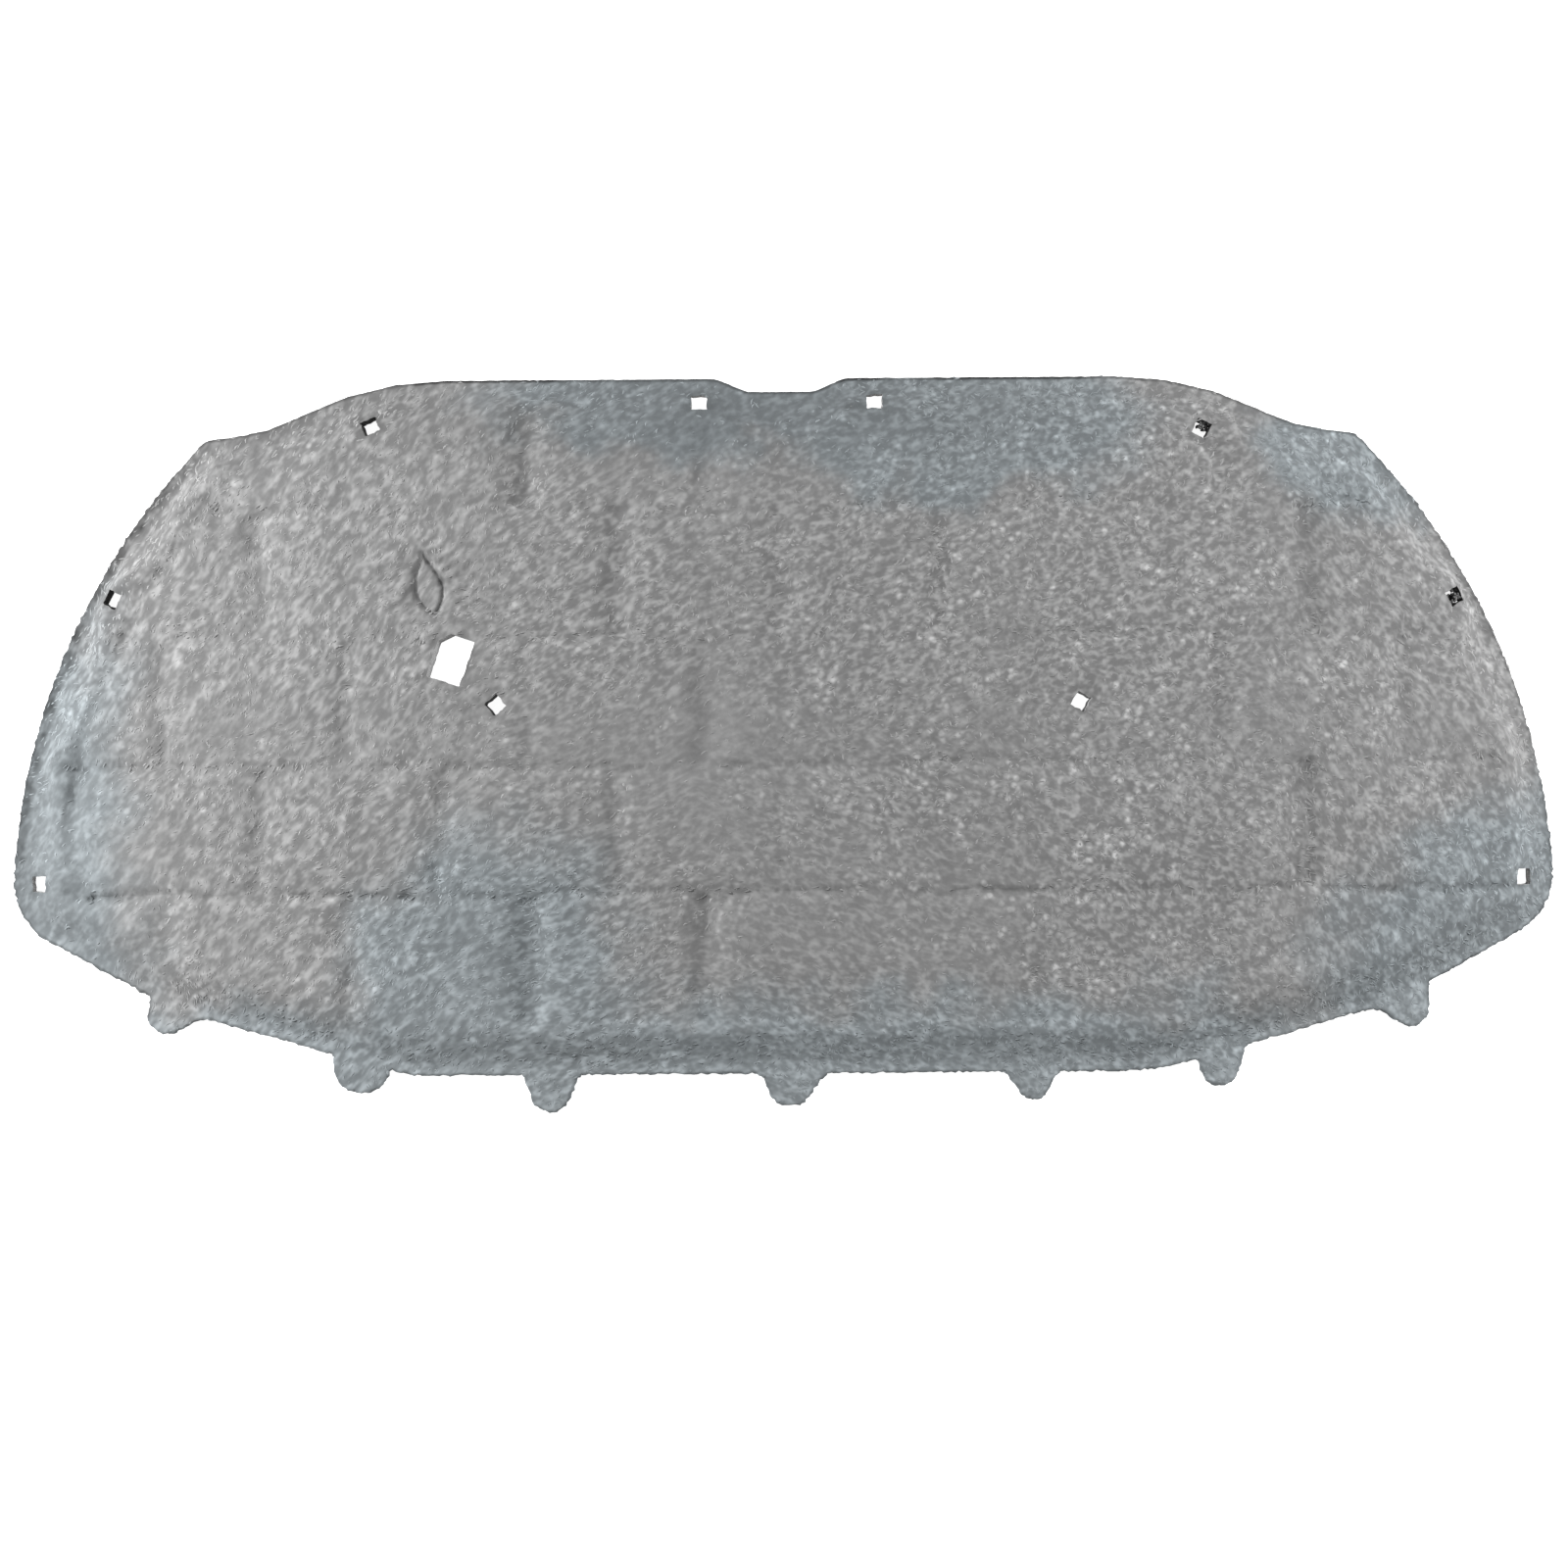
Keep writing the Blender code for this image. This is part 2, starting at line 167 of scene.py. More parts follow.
camera = add_object("camera", bpy.data.cameras.new("camera"))
bpy.context.scene.camera = camera
camera.location = (VIEW_CENTRE_X, VIEW_CENTRE_Y, CAMERA_HEIGHT + RIM_TOP / 2)
camera.rotation_euler.z = VIEW_TURN
camera.data.lens = camera.data.sensor_width * CAMERA_HEIGHT / VIEW_WIDTH
print("lens", round(camera.data.lens, 2), "mm")

# %% [markdown]
# ## Light
# Felt shows its joints only when light rakes over it. Two soft boxes stand beyond the upper left and the
# upper right corner, so each groove has its bright wall on the far side from the nearer box. The sky
# fills the rest.

# %% Two soft boxes and a pale sky
LIGHT_SIZE = 0.6
LIGHT_ASIDE = 1.5
LIGHT_BEYOND = 0.38
LIGHT_UP = 0.68
LEFT_WATTS = 34.9
RIGHT_WATTS = 24.0
SKY_LEVEL = 0.2


def add_soft_box(name, place, power):
    """A square lamp that faces the middle of the pad."""
    lamp = bpy.data.lights.new(name, "AREA")
    lamp.size = LIGHT_SIZE
    lamp.energy = power
    box = add_object(name, lamp)
    box.location = place
    box.rotation_euler = (-Vector(place)).to_track_quat("-Z", "Y").to_euler()


add_soft_box("soft_box_left", (-LIGHT_ASIDE, LIGHT_BEYOND, LIGHT_UP), LEFT_WATTS)
add_soft_box("soft_box_right", (LIGHT_ASIDE, LIGHT_BEYOND, LIGHT_UP), RIGHT_WATTS)
print("soft boxes", LEFT_WATTS, "W and", RIGHT_WATTS, "W")

world = bpy.data.worlds.new("sky")
bpy.context.scene.world = world
world.use_nodes = True
sky = world.node_tree
sky.nodes.clear()
level = between(sky, seen_directly(sky), 0.0, 1.0, SKY_LEVEL, 1.0)
background = add_node(sky, "ShaderNodeBackground", {}, {"Color": linear("#FFFFFF"), "Strength": level})
add_node(sky, "ShaderNodeOutputWorld", {}, {"Surface": background.outputs[0]})
bpy.context.scene.view_settings.view_transform = "Standard"

# %% [markdown]
# ## Floor
# The pad lies on a white sheet of paper. It is a plain matte surface that still takes the pad's shadow,
# plus a little glow that only the camera sees, which lifts the paper to white.

# %% Paper floor
FLOOR_SIDE = 12
FLOOR_DROP = 0.4 * MM
FLOOR_GLOW = 0.92
PAPER_WHITE = "#F4F4F4"

bm = bmesh.new()
bmesh.ops.create_grid(bm, x_segments=1, y_segments=1, size=FLOOR_SIDE / 2)
bmesh.ops.translate(bm, verts=bm.verts, vec=(0, 0, -FLOOR_DROP))
paper_mesh = bpy.data.meshes.new("paper_floor")
bm.to_mesh(paper_mesh)
bm.free()
floor = add_object("paper_floor", paper_mesh)

paper, tree = bare_material("matte_white_paper")
glow = product(tree, [seen_directly(tree), FLOOR_GLOW])
glowing = add_node(tree, "ShaderNodeEmission", {}, {"Strength": glow})
matte = add_node(tree, "ShaderNodeBsdfDiffuse", {}, {"Color": linear(PAPER_WHITE)})
both = add_node(tree, "ShaderNodeAddShader", {}, {0: matte.outputs[0], 1: glowing.outputs[0]})
add_node(tree, "ShaderNodeOutputMaterial", {}, {"Surface": both.outputs[0]})
floor.data.materials.append(paper)
print("floor", FLOOR_SIDE, "m wide")

# %% [markdown]
# ## Brickwork
# The joints are laid out like a wall: rows of one height, and bricks of one length that shift by half a
# brick from row to row. Heights are measured down from the top edge, as on the pad's drawing. The same
# few sizes that drive the solid place every soft joint here.

# %% Joint layout
TOP_EDGE = pad_high.y
WALL_TOP = -3.6 * MM
BRICK_LENGTH = 145.9 * MM
BRICK_HEIGHT = 103.6 * MM
ROW_COUNT = 5
FULL_ROW_FIRST = 59.8 * MM
SPLIT_ROW_FIRST = 129.6 * MM
SIDE_BORDER = 50 * MM
TOP_BORDER = 25 * MM
LEAF_PLACE = Vector((-283.8 * MM, -167.5 * MM))
LEAF_SIZE = Vector((21 * MM, 50 * MM))
LEAF_TILT = math.radians(11)


def upright_places(row):
    """Where the joints between the bricks of a row lie."""
    first = SPLIT_ROW_FIRST if row % 2 else FULL_ROW_FIRST
    places = [0.0] if row % 2 else []
    while first < pad_high.x:
        places += [first, -first]
        first += BRICK_LENGTH
    return sorted(places)


print("joints in each row", [len(upright_places(row)) for row in range(ROW_COUNT)])

# %% [markdown]
# ## Distances
# Joints fade out before they reach the rim, the rim itself is pressed thin and carries a painted shade
# line, and the felt sinks a little round each hole. So the distance of any point from the outline and from
# the holes is needed. Both are found where an upright wall meets a level face: low down at the rim, high up
# at the holes. The foot is the line where the thick body starts to rise from the thin rim and from the
# tongues.

# %% Edges of the rim and of the holes
UPWARD = 0.05
STEEP = 0.5
LEVEL = 0.1 * MM
RIM_LOW = 1 * MM
RIM_HIGH = 5 * MM

bm = bmesh.new()
bm.from_mesh(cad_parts["insulation_pad"].data)
bmesh.ops.remove_doubles(bm, verts=bm.verts, dist=SAME_SPOT)


def wall_tops(low, high):
    """The upper edges of the upright walls that end between two heights."""
    tops = []
    for edge in bm.edges:
        uprights = [abs(face.normal.z) < UPWARD for face in edge.link_faces]
        if any(uprights) and not all(uprights) and all(low < vert.co.z < high for vert in edge.verts):
            tops.append([vert.co.xy[:] for vert in edge.verts])
    return np.array(tops)


def foot_line():
    """The edges where a steep face rises from the level rim."""
    rising = []
    for edge in bm.edges:
        on_rim = all(abs(vert.co.z - RIM_TOP) < LEVEL for vert in edge.verts)
        if on_rim and any(UPWARD < abs(face.normal.z) < STEEP for face in edge.link_faces):
            rising.append([vert.co.xy[:] for vert in edge.verts])
    return np.array(rising)


def distance_from(edges, points):
    """Distance of each point from the nearest of some edges."""
    nearest = np.full(len(points), np.inf)
    for start, end in edges:
        along = end - start
        share = np.clip((points - start) @ along / (along @ along), 0, 1)
        gap = points - start - share[:, None] * along
        nearest = np.minimum(nearest, np.hypot(gap[:, 0], gap[:, 1]))
    return nearest


outline = wall_tops(RIM_LOW, RIM_HIGH)
hole_edges = wall_tops(pad_high.z - 1 * MM, pad_high.z + 1 * MM)
foot = foot_line()
print("outline", len(outline), "edges, holes", len(hole_edges), "edges, foot", len(foot), "edges")


# %% [markdown]
# ## The mat as a fine mesh
# The solid has only the few faces that its shape needs. In the copy its sharp grooves are filled, as soft
# ones take their place, and its flat stretches become single faces. These are then cut like squared
# paper, for a point every 3 mm. Cutting the halves again and again keeps each cut small. The underside
# lies on the floor and stays flat. It is cut into triangles, so that its holes stay open when the points
# round them move. Faces of no area, which some cuts leave, are taken out again.

# %% Fill the grooves and dice the face
CELL = 2.95 * MM
ROLL_END = 17 * MM
GROOVE_FLOOR = 10 * MM
ON_PLANE = 1e-7
DOWNWARD = -0.5
FLAT_TURN = math.radians(0.5)


def cuts_between(low, high):
    """Evenly spaced places inside a span, a cell apart."""
    count = max(1, round((high - low) / CELL))
    return [low + (high - low) * step / count for step in range(1, count)]


def dice(bm, faces, axis, places):
    """Cut faces by planes across an axis, half of the planes on each side of the middle one."""
    if not places or not faces:
        return
    middle = len(places) // 2
    point = Vector((0, 0, 0))
    point[axis] = places[middle]
    across = Vector((0, 0, 0))
    across[axis] = 1
    edges = dict.fromkeys(edge for face in faces for edge in face.edges)
    verts = dict.fromkeys(vert for edge in edges for vert in edge.verts)
    geometry = [*verts, *edges, *faces]
    cut = bmesh.ops.bisect_plane(bm, geom=geometry, dist=ON_PLANE, plane_co=point, plane_no=across)
    pieces = [item for item in cut["geom"] if isinstance(item, bmesh.types.BMFace)]
    below = []
    above = []
    for face in pieces:
        side = below if face.calc_center_median()[axis] < places[middle] else above
        side.append(face)
    dice(bm, below, axis, places[:middle])
    dice(bm, above, axis, places[middle + 1:])


corners = list(bm.verts)
inset = distance_from(outline, np.array([vert.co.xy[:] for vert in corners]))
for vert, distance in zip(corners, inset):
    if distance > ROLL_END and vert.co.z > GROOVE_FLOOR:
        vert.co.z = pad_high.z
bmesh.ops.dissolve_limit(bm, angle_limit=FLAT_TURN, verts=bm.verts, edges=bm.edges)
for axis in (0, 1):
    upper = [face for face in bm.faces if face.normal.z > DOWNWARD]
    dice(bm, upper, axis, cuts_between(pad_low[axis], pad_high[axis]))
underside = [face for face in bm.faces if face.normal.z < DOWNWARD]
bmesh.ops.triangulate(bm, faces=underside)
bmesh.ops.dissolve_degenerate(bm, dist=SAME_SPOT, edges=bm.edges)
stray = [edge for edge in bm.edges if not edge.link_faces]
bmesh.ops.delete(bm, geom=stray, context="EDGES")
print("mat", len(bm.faces), "faces")

# %% [markdown]
# The leaf mark is drawn with a groove only 3 mm wide, so the squares round it are cut again, three by
# three.

# %% Finer squares round the leaf mark
LEAF_REACH = 40 * MM
LEAF_CUTS = 2
leaf_middle = Vector((LEAF_PLACE.x, LEAF_PLACE.y + TOP_EDGE))
near_leaf = [
    face for face in bm.faces
    if face.normal.z > UPWARD and (face.calc_center_median().xy - leaf_middle).length < LEAF_REACH
]
fine_edges = list(dict.fromkeys(edge for face in near_leaf for edge in face.edges))
bmesh.ops.subdivide_edges(bm, edges=fine_edges, cuts=LEAF_CUTS, use_grid_fill=True)
print("mat with leaf", len(bm.faces), "faces")

# %% [markdown]
# ## Relief
# Pressed felt is never flat. Its face swells between the joints, waves gently, and is lumpy where tufts
# of fibre were needled down. Each of these is a smooth field of heights over the drawing, and the fields
# are added. The press was not even: the joints are deep at the left end and faint past the middle. A list
# gives how firmly each upright joint is pressed, from left to right in each row, and another gives it for
# the beds.

# %% Random fields and soft joints
BED_DEPTH = 2.2 * MM
BED_WIDTH = 4.6 * MM
BED_PRESS = (0.5, 0.5, 0.65, 0.85, 0.3)
UPRIGHT_DEPTH = 2.5 * MM
UPRIGHT_WIDTH = 6 * MM
UPRIGHT_SPREAD = 2.5 * MM
UPRIGHT_PRESS = (
    (0.3, 0.2, 2.1, 0.8, 0.2, 0.6, 1.8, 0.3),
    (0.6, 1.1, 0.0, 1.6, 1.5, 0.9, 0.2, 1.8, 0.3),
    (0.9, 1.2, 0.5, 1.1, 0.3, 0.3, 1.0, 0.9),
    (0.6, 1.1, 1.0, 1.0, 0.3, 0.5, 0.3, 2.0, 0.3),
    (0.9, 1.1, 1.7, 1.3, 0.3, 0.7, 1.3, 0.6),
)
DEEPEST = 4.5 * MM
SHINE_STEP = 13 * MM
SHINE_WIDTH = 8 * MM
MIDDLE_SHIFT = 5 * MM
SHIFT_PLACE = -95 * MM
SHIFT_REACH = 70 * MM
CROWN = 0.9 * MM
CROWN_WIDTH = 24 * MM
WANDER = 4.4 * MM
WANDER_SIZE = 45 * MM
PATCH_SIZE = 60 * MM
DOT_SIZE = 6 * MM
JOINT_END = 5 * MM


def rough(x, y, size, seed):
    """Smooth random values, mostly from -0.5 to 0.5, with bumps of one size."""
    return np.array([noise.noise((u / size, v / size, seed)) for u, v in zip(x, y)])


def ease(value, low, high):
    """0 below low, 1 above high and smooth between them."""
    share = np.clip((value - low) / (high - low), 0, 1)
    return share * share * (3 - 2 * share)


def dent(distance, width):
    """A soft valley's depth at a distance from its middle, 1 at the middle."""
    return np.exp(-(distance / width) ** 2)


def joint_fields(x, y, inset):
    """How deep the joints lie, how near the closest one is, and how much painted highlight its lit far side
    gets.
    """
    bent_x = x + WANDER * rough(x, y, WANDER_SIZE, 1.5) + MIDDLE_SHIFT * dent(x - SHIFT_PLACE, SHIFT_REACH)
    bent_y = y + WANDER * rough(x, y, WANDER_SIZE, 7.5)
    patchy = np.clip(1 + 0.9 * rough(x, y, PATCH_SIZE, 3.5), 0.4, 1.4)
    dotted = patchy * np.clip(1 + 1.3 * rough(x, y, DOT_SIZE, 8.5), 0.35, 1.2)
    inner = ease(inset, TOP_BORDER, SIDE_BORDER)
    pull = np.zeros(len(x))
    near = np.zeros(len(x))
    shine = np.zeros(len(x))
    for row in range(ROW_COUNT):
        row_top = WALL_TOP - BRICK_HEIGHT * row
        foot = row_top - BRICK_HEIGHT
        bed = np.abs(bent_y - foot)
        pull = np.maximum(pull, BED_PRESS[row] * BED_DEPTH * dent(bed, BED_WIDTH) * inner * dotted)
        near = np.maximum(near, BED_PRESS[row] * dent(bed, CROWN_WIDTH) * inner)
        above_foot = ease(bent_y, foot - JOINT_END, foot + JOINT_END)
        below_top = 1 - ease(bent_y, row_top - JOINT_END, row_top + JOINT_END)
        ends = above_foot * below_top
        for place, press in zip(upright_places(row), UPRIGHT_PRESS[row]):
            upright = np.abs(bent_x - place)
            groove = dent(upright, UPRIGHT_WIDTH + UPRIGHT_SPREAD * press)
            pull = np.maximum(pull, press * UPRIGHT_DEPTH * groove * inner * ends * patchy)
            near = np.maximum(near, press * dent(upright, CROWN_WIDTH) * inner * ends)
            # Painted highlight on the lit wall beside each upright joint.
            lit_wall = dent(bent_x - place - SHINE_STEP, SHINE_WIDTH)
            shine = np.maximum(shine, press * lit_wall * inner * ends)
    return np.minimum(pull, DEEPEST), near, shine


# %% [markdown]
# The leaf mark is a pressed groove round a pointed oval. The felt is gathered towards it, so fine ridges
# run away from it on its right, and on its left it gets painted shade, as does its groove. Beside the bowed
# sides a second crease runs down the mat, where it bends over the edge of the mould.

# %% Leaf mark and side creases
LEAF_GROOVE = 2.1 * MM
LEAF_GROOVE_WIDTH = 2.7 * MM
LEAF_SINK = 0.9 * MM
LEAF_SHADE_WIDTH = 13 * MM
LEAF_SHADE_SPOT = (-19 * MM, 23 * MM)
PUCKER_HEIGHT = 1.4 * MM
PUCKER_REACH = 30 * MM
PUCKER_PITCH = 8.5 * MM
PUCKER_TURN = math.radians(42)
PUCKER_SIDES = ((math.radians(30), 0.1, 0.9, 1.0), (math.radians(235), 0.4, 1.0, 0.5))
LEAF_SHADE_SIDE = math.radians(185)
CREASE_DEPTH = 2 * MM
CREASE_WIDTH = 6 * MM
CREASE_INSET = 44 * MM
CREASE_SPAN = (-114 * MM, -400 * MM)
CALM_ZONES = [(-40, -55, 150, 55), (-560, -410, 90, 90), (-70, -320, 130, 80), (70, -430, 170, 70)]


def leaf_fields(x, y):
    """Height of the leaf mark, how near its groove is, and how much painted shade lies beside it."""
    cos_tilt = math.cos(LEAF_TILT)
    sin_tilt = math.sin(LEAF_TILT)
    across = (x - LEAF_PLACE.x) * cos_tilt + (y - LEAF_PLACE.y) * sin_tilt
    along = (y - LEAF_PLACE.y) * cos_tilt - (x - LEAF_PLACE.x) * sin_tilt
    share = np.clip(2 * along / LEAF_SIZE.y, -1, 1)
    half_width = LEAF_SIZE.x / 2 * (1 - share ** 2) * (1.05 - 0.3 * share)
    past_tip = np.maximum(np.abs(along) - LEAF_SIZE.y / 2, 0)
    past_side = np.abs(across) - half_width
    gap = np.hypot(past_side, past_tip)
    inside = (past_side < 0) & (past_tip == 0)
    groove = dent(gap, LEAF_GROOVE_WIDTH) * np.where(across > 0, 1.0, 0.7)
    turn = np.arctan2(y - LEAF_PLACE.y, x - LEAF_PLACE.x)
    past_ridges = (x * math.sin(PUCKER_TURN) - y * math.cos(PUCKER_TURN)) / PUCKER_PITCH
    ridges = 0.5 + 0.5 * np.cos(math.tau * past_ridges + 5 * rough(x, y, 24 * MM, 2.5))
    reach = dent(gap, PUCKER_REACH) * ease(gap, 1 * MM, 5 * MM) * ~inside
    facing = sum(share * ease(np.cos(turn - side), low, high) for side, low, high, share in PUCKER_SIDES)
    height = PUCKER_HEIGHT * ridges * reach * facing - LEAF_GROOVE * groove - LEAF_SINK * inside
    # Painted shade to the left of the leaf, and a painted dark spot at its upper left.
    leaf_side_shade = dent(gap, LEAF_SHADE_WIDTH) * ease(np.cos(turn - LEAF_SHADE_SIDE), 0.2, 0.9) * ~inside
    spot = np.hypot(x - LEAF_PLACE.x - LEAF_SHADE_SPOT[0], y - LEAF_PLACE.y - LEAF_SHADE_SPOT[1])
    return height, groove, np.maximum(leaf_side_shade, dent(spot, 8 * MM))


def calm_field(x, y):
    """Where the press left the face smooth: 1 in the middle of each oval, given in mm on the drawing."""
    calm = np.zeros(len(x))
    for across, down, half_width, half_height in CALM_ZONES:
        reach = np.hypot((x / MM - across) / half_width, (y / MM - down) / half_height)
        calm = np.maximum(calm, 1 - ease(reach, 0.5, 1.3))
    return calm


def crease_field(x, y, inset):
    """How firm the side creases are: firm at the left end and faint at the right end."""
    start, end = CREASE_SPAN
    span = ease(-y, -start, -start + 20 * MM) * (1 - ease(-y, -end - 20 * MM, -end))
    patchy = np.clip(0.8 + 1.6 * rough(x, y, 30 * MM, 12.5), 0, 1.2)
    firm = np.where(x < 0, 1.0, 0.45)
    return dent(inset - CREASE_INSET, CREASE_WIDTH) * span * patchy * firm


# %% [markdown]
# The fields lift and lower the points of the upper face. First the body is rolled gently down to the rim,
# as the soft felt does not keep the mould's steep wall. Only round the upper clip holes is it stiff
# enough to. Five numbers stay with each point for the felt's colour: its distance from the rim, how much
# painted shade the rim line gets there, how much painted light and shade lies on the face, how much loose
# fibre lies there, and how calm the face is.

# %% Move the points
SOFT_ROLL = 38 * MM
HOLE_ROLL = 15 * MM
WAVE = 1.6 * MM
LUMP = 1.1 * MM
TUFT = 0.7 * MM
DIMPLE = 1.3 * MM
DIMPLE_WIDTH = 7 * MM

STIFF_REACH = (4 * MM, 42 * MM)
STIFF_SIDES = (0.40, 0.50)
STIFF_UP = (-60 * MM, 0)

LAYER_NAMES = ("rim_distance", "rim_shade", "painted_light_and_shade", "loose", "calm")
layers = {name: bm.verts.layers.float.new(name) for name in LAYER_NAMES}
verts = list(bm.verts)
places = np.array([vert.co[:] for vert in verts])
inset = distance_from(outline, places[:, :2])
hole_gap = distance_from(hole_edges, places[:, :2])
x = places[:, 0]
y = places[:, 1] - TOP_EDGE
upper = places[:, 2] > RIM_LOW
left_side = ease(-x, 0.40, 0.52) * (1 - ease(-y, 0.37, 0.43))
lower_side = ease(-y, 0.505, 0.53)
foot_gap = distance_from(foot, places[:, :2])
stiff = (1 - ease(hole_gap, *STIFF_REACH)) * (0.3 + 0.7 * ease(np.abs(x), *STIFF_SIDES))
stiff *= ease(places[:, 1], *STIFF_UP)
roll = SOFT_ROLL + (HOLE_ROLL - SOFT_ROLL) * stiff
rolled = RIM_TOP + (pad_high.z - RIM_TOP) * ease(foot_gap, 0, roll)
heights = np.where(places[:, 2] > RIM_TOP + LEVEL, rolled, places[:, 2])
pull, near, shine = joint_fields(x, y, inset)
leaf_height, leaf_groove, leaf_side_shade = leaf_fields(x, y)
crease = crease_field(x, y, inset)
relief = CROWN * (0.5 - near) - pull
relief += WAVE * rough(x, y, 85 * MM, 4.5)
relief += LUMP * rough(x, y, 26 * MM, 5.5)
relief += leaf_height - CREASE_DEPTH * crease
relief -= DIMPLE * dent(hole_gap, DIMPLE_WIDTH)
relief *= ease(inset, 5 * MM, 24 * MM)
relief += TUFT * rough(x, y, 7 * MM, 6.5) * ease(inset, 0, 14 * MM)
for vert, moves, height, more in zip(verts, upper, heights, relief):
    if moves:
        vert.co.z = height + more
print("relief from", round(relief.min() / MM, 1), "to", round(relief.max() / MM, 1), "mm")

# %% [markdown]
# Shade is painted into the felt in its grooves, in and beside the leaf mark, in the creases, at the left
# lip, round the holes, along the top, on the roll at the left end and along the fold of the lower edge.
# Light is painted onto the left part, onto the lit wall beside each joint, onto the tongues and onto the
# lower edge. Two patches at the right, a band above the lower edge and the top strip are paler as well.
# Each of these adds its share to one number. A painted shade line runs along the rim, darkest along three
# stretches of the top edge.

# %% Numbers for the felt's colour
# Stretches of the top edge where the painted shade line along the rim is darkest.
TOP_SHADE_STRETCHES = [(-295 * MM, -183 * MM), (52 * MM, 80 * MM), (127 * MM, 247 * MM)]
PALE_PATCHES = [(238 * MM, -108 * MM), (238 * MM, -345 * MM)]
PALE_REACH = 36 * MM
CLUMP_SIZE = 34 * MM
SMALL_CLUMP = 14 * MM
CLUMP_PLACE = 21.5

clumps = rough(x, y, CLUMP_SIZE, CLUMP_PLACE) + 0.6 * rough(x, y, SMALL_CLUMP, 22.5)
right_middle = dent(np.hypot((x - 300 * MM) / 1.2, y + 190 * MM), 190 * MM)
right_lower = dent(np.hypot((x - 210 * MM) / 1.3, y + 380 * MM), 120 * MM)
loose = ease(clumps, -0.12, 0.24) * (0.45 + 0.8 * np.maximum(right_middle, right_lower))
# Painted shade along the crease at the left lip.
lip_shade = left_side * (1 - ease(inset, 5 * MM, 12 * MM)) * (1 + 1.2 * rough(x, y, 6 * MM, 24.5))
top_side = ease(y, -0.10, -0.03)
# The leaf groove is painted darker, as shade.
leaf_groove_shade = leaf_groove * (0.22 + 0.5 * rough(x, y, 8 * MM, 23.5))
# Painted shade in the joint grooves, in the leaf groove and beside the leaf mark.
painted_light_and_shade = 0.07 * pull / UPRIGHT_DEPTH + leaf_groove_shade + 0.32 * leaf_side_shade
# Painted shade in the side creases, along the left lip and round the rims of the holes.
painted_light_and_shade += 0.12 * crease + 0.3 * lip_shade + 0.16 * dent(hole_gap, 4 * MM)
# Painted shade along the middle of the top.
painted_light_and_shade += 0.25 * top_side * dent(x + 50 * MM, 240 * MM)
# Painted shade on the roll at the left end.
left_end = ease(-x, 250 * MM, 340 * MM) * (1 - ease(-y, 420 * MM, 470 * MM))
painted_light_and_shade += 0.22 * left_end * (1 - ease(inset, 20 * MM, 48 * MM))
# Painted light over the left part and a painted highlight on the lit wall beside each joint; a band above
# the lower edge is paler too.
painted_light_and_shade -= 0.07 * ease(-x, 150 * MM, 350 * MM) + 0.05 * shine + 0.06 * dent(y + 492 * MM, 34 * MM)
tongue = (places[:, 2] < RIM_TOP + LEVEL) * ease(inset, 5 * MM, 8 * MM)
# Painted light on the tongues, which lie in the body's shadow, and on the lower roll, which faces away from
# the lamps; the top strip is paler too.
painted_light_and_shade -= 0.2 * tongue + 0.29 * lower_side * (1 - tongue) + 0.07 * (1 - ease(-y, 8 * MM, 28 * MM))
for across, down in PALE_PATCHES:
    painted_light_and_shade -= 0.08 * dent(np.hypot(x - across, y - down), PALE_REACH)
# Painted shade along the fold of the lower edge.
painted_light_and_shade += 0.12 * lower_side * (1 - tongue) * dent(inset - 11 * MM, 6 * MM)
# A painted shade line runs along the rim: strongest along three stretches of the top edge, weakest along
# the lower edge.
top_line_shade = np.zeros(len(x))
for start, end in TOP_SHADE_STRETCHES:
    top_line_shade = np.maximum(top_line_shade, ease(x, start - 6 * MM, start) * (1 - ease(x, end, end + 6 * MM)))
rim_shade = 0.45 + 0.1 * top_side + 0.4 * top_side * top_line_shade - 0.3 * lower_side
layer_values = (inset / MM, rim_shade, painted_light_and_shade, loose, calm_field(x, y))
for name, values in zip(LAYER_NAMES, layer_values):
    layer = layers[name]
    for vert, value in zip(verts, values):
        vert[layer] = value
print("pressed from", round(painted_light_and_shade.min(), 2), "to", round(painted_light_and_shade.max(), 2))

# %% [markdown]
# ## Ragged rim
# A die cuts the pad out of the felt. It leaves a rim that is ragged by about a millimetre, because fibres
# pull out of the cut. The points near the outline and the holes are pushed a little to and fro, by noise
# that has a seed, so each run gives the same rim. The top edge, which was pinched hard, is the cleanest.

# %% Push the rim to and fro
RAG = 1.8 * MM
RAG_SIZE = 2.3 * MM
HOLE_RAG = 0.6
ragged = (1 - ease(inset, 0, 5 * MM)) * (1 - 0.75 * top_side)
ragged = np.maximum(ragged, HOLE_RAG * (1 - ease(hole_gap, 0, 4 * MM)))
for vert, amount in zip(verts, ragged):
    if amount > 0:
        shift = noise.noise_vector((vert.co.x / RAG_SIZE, vert.co.y / RAG_SIZE, 0.5))
        vert.co.x += RAG * amount * shift.x
        vert.co.y += RAG * amount * shift.y
print("ragged points", int((ragged > 0).sum()))

# %% [markdown]
# ## The mat as an object
# The walls of the holes are cut felt, in a paler copy of its colour that is painted light. At five of the
# clip holes they get a near-black copy instead, painted shade, as the light comes from the side that they
# face away from.

# %% Make the felt mat
HOLE_INSET = 8 * MM
WALL_LEAN = 0.3
SHADED_HOLES = [Vector((across * MM, down * MM)) for across, down in (
    (-331, -39), (340, -43), (-540, -177), (542, -182), (-231, -264))]
SHADED_HOLE_REACH = 12 * MM

